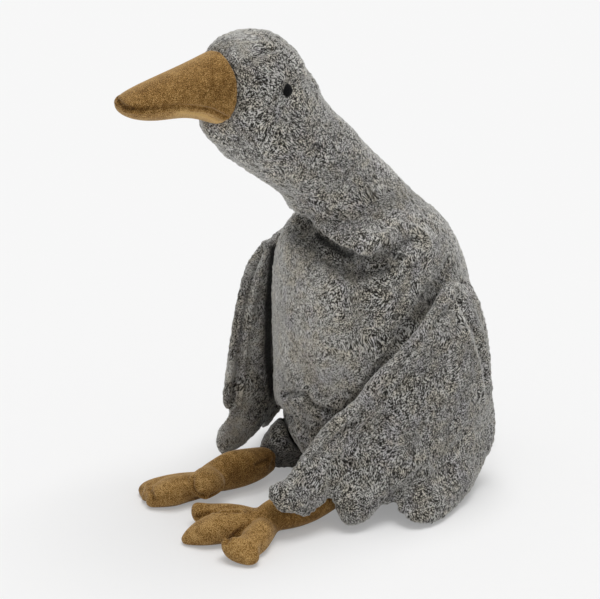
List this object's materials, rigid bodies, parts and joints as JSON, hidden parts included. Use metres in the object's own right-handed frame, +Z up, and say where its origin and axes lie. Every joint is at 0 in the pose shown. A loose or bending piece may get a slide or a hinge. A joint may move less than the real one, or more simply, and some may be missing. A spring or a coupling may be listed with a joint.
{
  "type": "plush goose",
  "caption": "Seated soft toy goose with a curly plush body, draped padded wings, a long stuffed neck, a padded beak and webbed feet.",
  "frame": {"origin": "middle of the flat seat, on the floor that the goose sits on", "axes": "+Z up, -Y the way the goose faces, +X towards the goose's own left wing"},
  "size_m": [0.2743, 0.4302, 0.4628],
  "materials": {
    "grey_plush": "curly matte pile",
    "ochre_velour": "short matte nap",
    "black_thread": "satin stitch"
  },
  "bodies": {
    "root": {"body": "grey_plush", "neck_and_head": "grey_plush", "beak": "ochre_velour", "eye_left": "black_thread", "eye_right": "black_thread", "wing_left": "grey_plush", "wing_right": "grey_plush", "thigh_left": "grey_plush", "thigh_right": "grey_plush", "foot_left": "ochre_velour", "foot_right": "ochre_velour", "tail": "grey_plush"}
  },
  "joints": []
}
